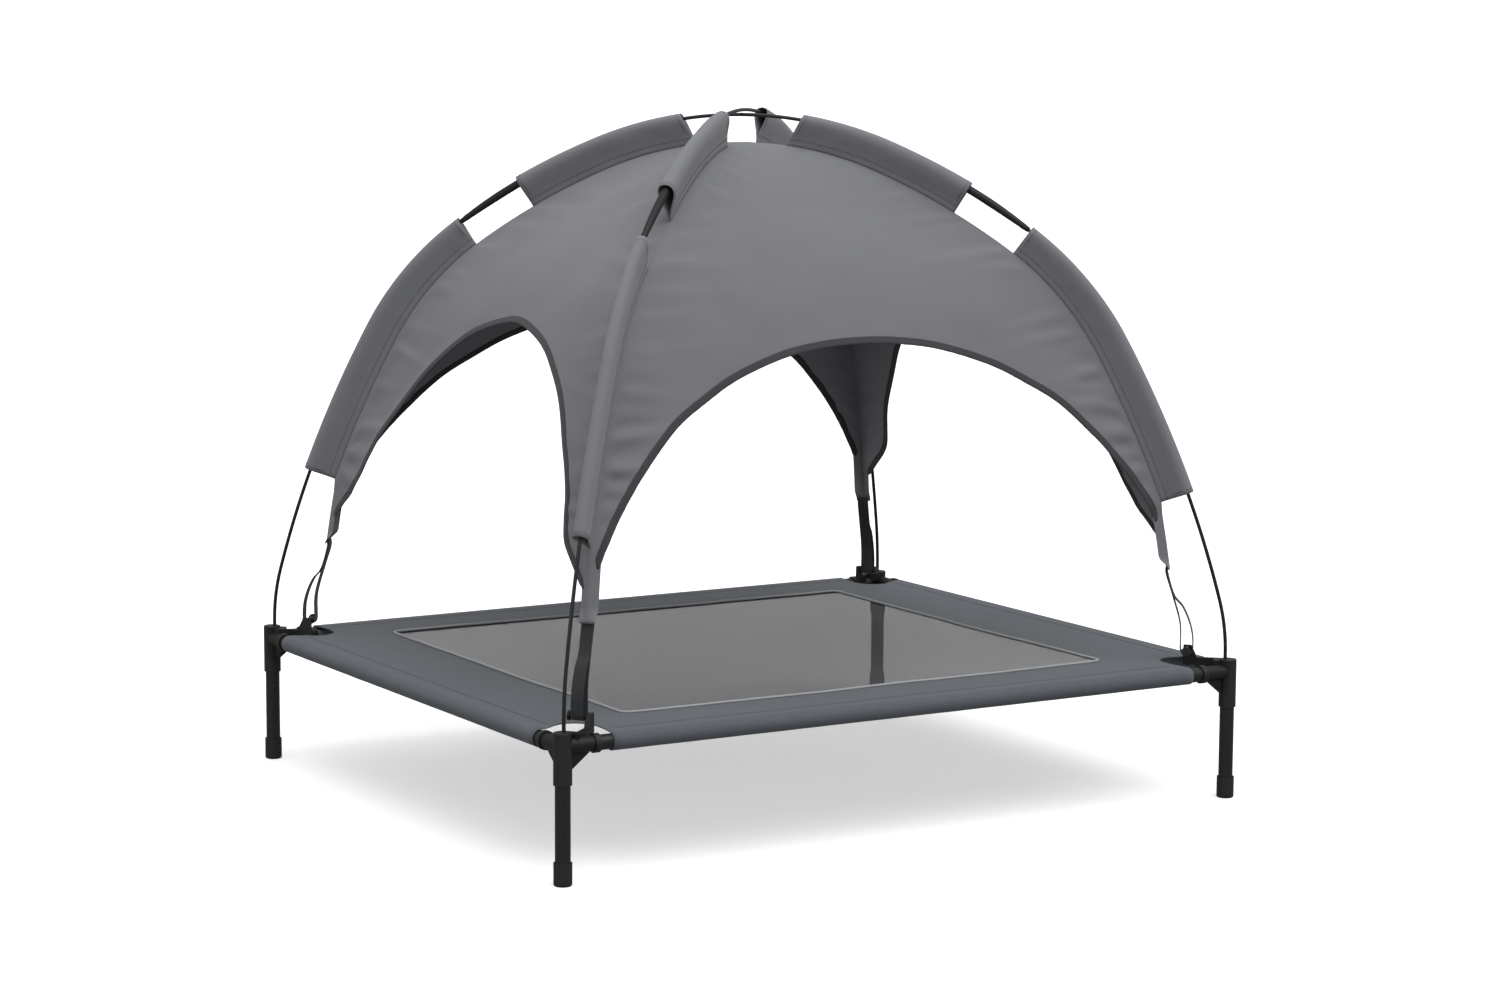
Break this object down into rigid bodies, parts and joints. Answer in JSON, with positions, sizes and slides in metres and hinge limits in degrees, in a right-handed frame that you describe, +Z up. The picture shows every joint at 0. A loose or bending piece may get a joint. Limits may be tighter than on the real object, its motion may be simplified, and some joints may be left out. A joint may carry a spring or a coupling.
{
  "type": "canopied dog bed",
  "caption": "Raised dog bed: a tube frame on four legs with a stretched mesh bed, and a domed canopy on two crossing bent rods, held by webbing loops.",
  "frame": {"origin": "on the floor under the middle of the bed", "axes": "+X along the length, +Y to the back, +Z up; the front is the long side at -Y"},
  "size_m": [1.071, 0.921, 0.9501],
  "materials": {
    "black_plastic": "fine moulded texture",
    "black_tube": "powder coated",
    "bed_cloth": "coated plain weave",
    "bed_mesh": "open mesh",
    "pale_braid": "flat woven tape",
    "canopy_cloth": "plain weave polyester",
    "binding_tape": "ribbed tape",
    "black_webbing": "woven elastic",
    "rod_ferrule": "satin",
    "fibreglass_rod": "smooth"
  },
  "bodies": {
    "frame": {"corner_connector_front_left": "black_plastic", "corner_connector_front_right": "black_plastic", "corner_connector_back_left": "black_plastic", "corner_connector_back_right": "black_plastic", "front_rail": "black_tube", "back_rail": "black_tube", "left_rail": "black_tube", "right_rail": "black_tube", "bed_border": "bed_cloth", "mesh_panel": "bed_mesh", "seam_braid": "pale_braid"},
    "canopy": {"canopy_panel_front": "canopy_cloth", "canopy_panel_back": "canopy_cloth", "canopy_panel_left": "canopy_cloth", "canopy_panel_right": "canopy_cloth", "arch_binding_front": "binding_tape", "arch_binding_back": "binding_tape", "arch_binding_left": "binding_tape", "arch_binding_right": "binding_tape", "upper_rod_sleeve_front_left": "canopy_cloth", "upper_rod_sleeve_front_right": "canopy_cloth", "upper_rod_sleeve_back_left": "canopy_cloth", "upper_rod_sleeve_back_right": "canopy_cloth", "lower_rod_sleeve_front_left": "canopy_cloth", "lower_rod_sleeve_front_right": "canopy_cloth", "lower_rod_sleeve_back_left": "canopy_cloth", "lower_rod_sleeve_back_right": "canopy_cloth", "canopy_tail_front_left": "canopy_cloth", "canopy_tail_front_right": "canopy_cloth", "canopy_tail_back_left": "canopy_cloth", "canopy_tail_back_right": "canopy_cloth", "webbing_loop_front_left": "black_webbing", "webbing_loop_front_right": "black_webbing", "webbing_loop_back_left": "black_webbing", "webbing_loop_back_right": "black_webbing", "lower_rod_front_left": "fibreglass_rod", "lower_rod_front_right": "fibreglass_rod", "lower_rod_back_left": "fibreglass_rod", "lower_rod_back_right": "fibreglass_rod", "rod_joint_front_left": "rod_ferrule", "rod_joint_front_right": "rod_ferrule", "rod_joint_back_left": "rod_ferrule", "rod_joint_back_right": "rod_ferrule", "rod_tip_front_left": "black_plastic", "rod_tip_front_right": "black_plastic", "rod_tip_back_left": "black_plastic", "rod_tip_back_right": "black_plastic", "crown_rod_upper": "fibreglass_rod", "crown_rod_lower": "fibreglass_rod"},
    "leg_front_left": {"leg_front_left": "black_tube", "foot_cap_front_left": "black_plastic"},
    "leg_front_right": {"leg_front_right": "black_tube", "foot_cap_front_right": "black_plastic"},
    "leg_back_left": {"leg_back_left": "black_tube", "foot_cap_back_left": "black_plastic"},
    "leg_back_right": {"leg_back_right": "black_tube", "foot_cap_back_right": "black_plastic"}
  },
  "joints": [
    {"name": "canopy_lift", "type": "slide", "parent": "frame", "child": "canopy", "axis": [0, 0, 1], "range_m": [0, 0.045], "deforming": ["webbing_loop_front_left", "webbing_loop_front_right", "webbing_loop_back_left", "webbing_loop_back_right"]},
    {"name": "leg_pull_front_left", "type": "slide", "parent": "frame", "child": "leg_front_left", "axis": [0, 0, -1], "range_m": [0, 0.04]},
    {"name": "leg_pull_front_right", "type": "slide", "parent": "frame", "child": "leg_front_right", "axis": [0, 0, -1], "range_m": [0, 0.04]},
    {"name": "leg_pull_back_left", "type": "slide", "parent": "frame", "child": "leg_back_left", "axis": [0, 0, -1], "range_m": [0, 0.04]},
    {"name": "leg_pull_back_right", "type": "slide", "parent": "frame", "child": "leg_back_right", "axis": [0, 0, -1], "range_m": [0, 0.04]}
  ]
}
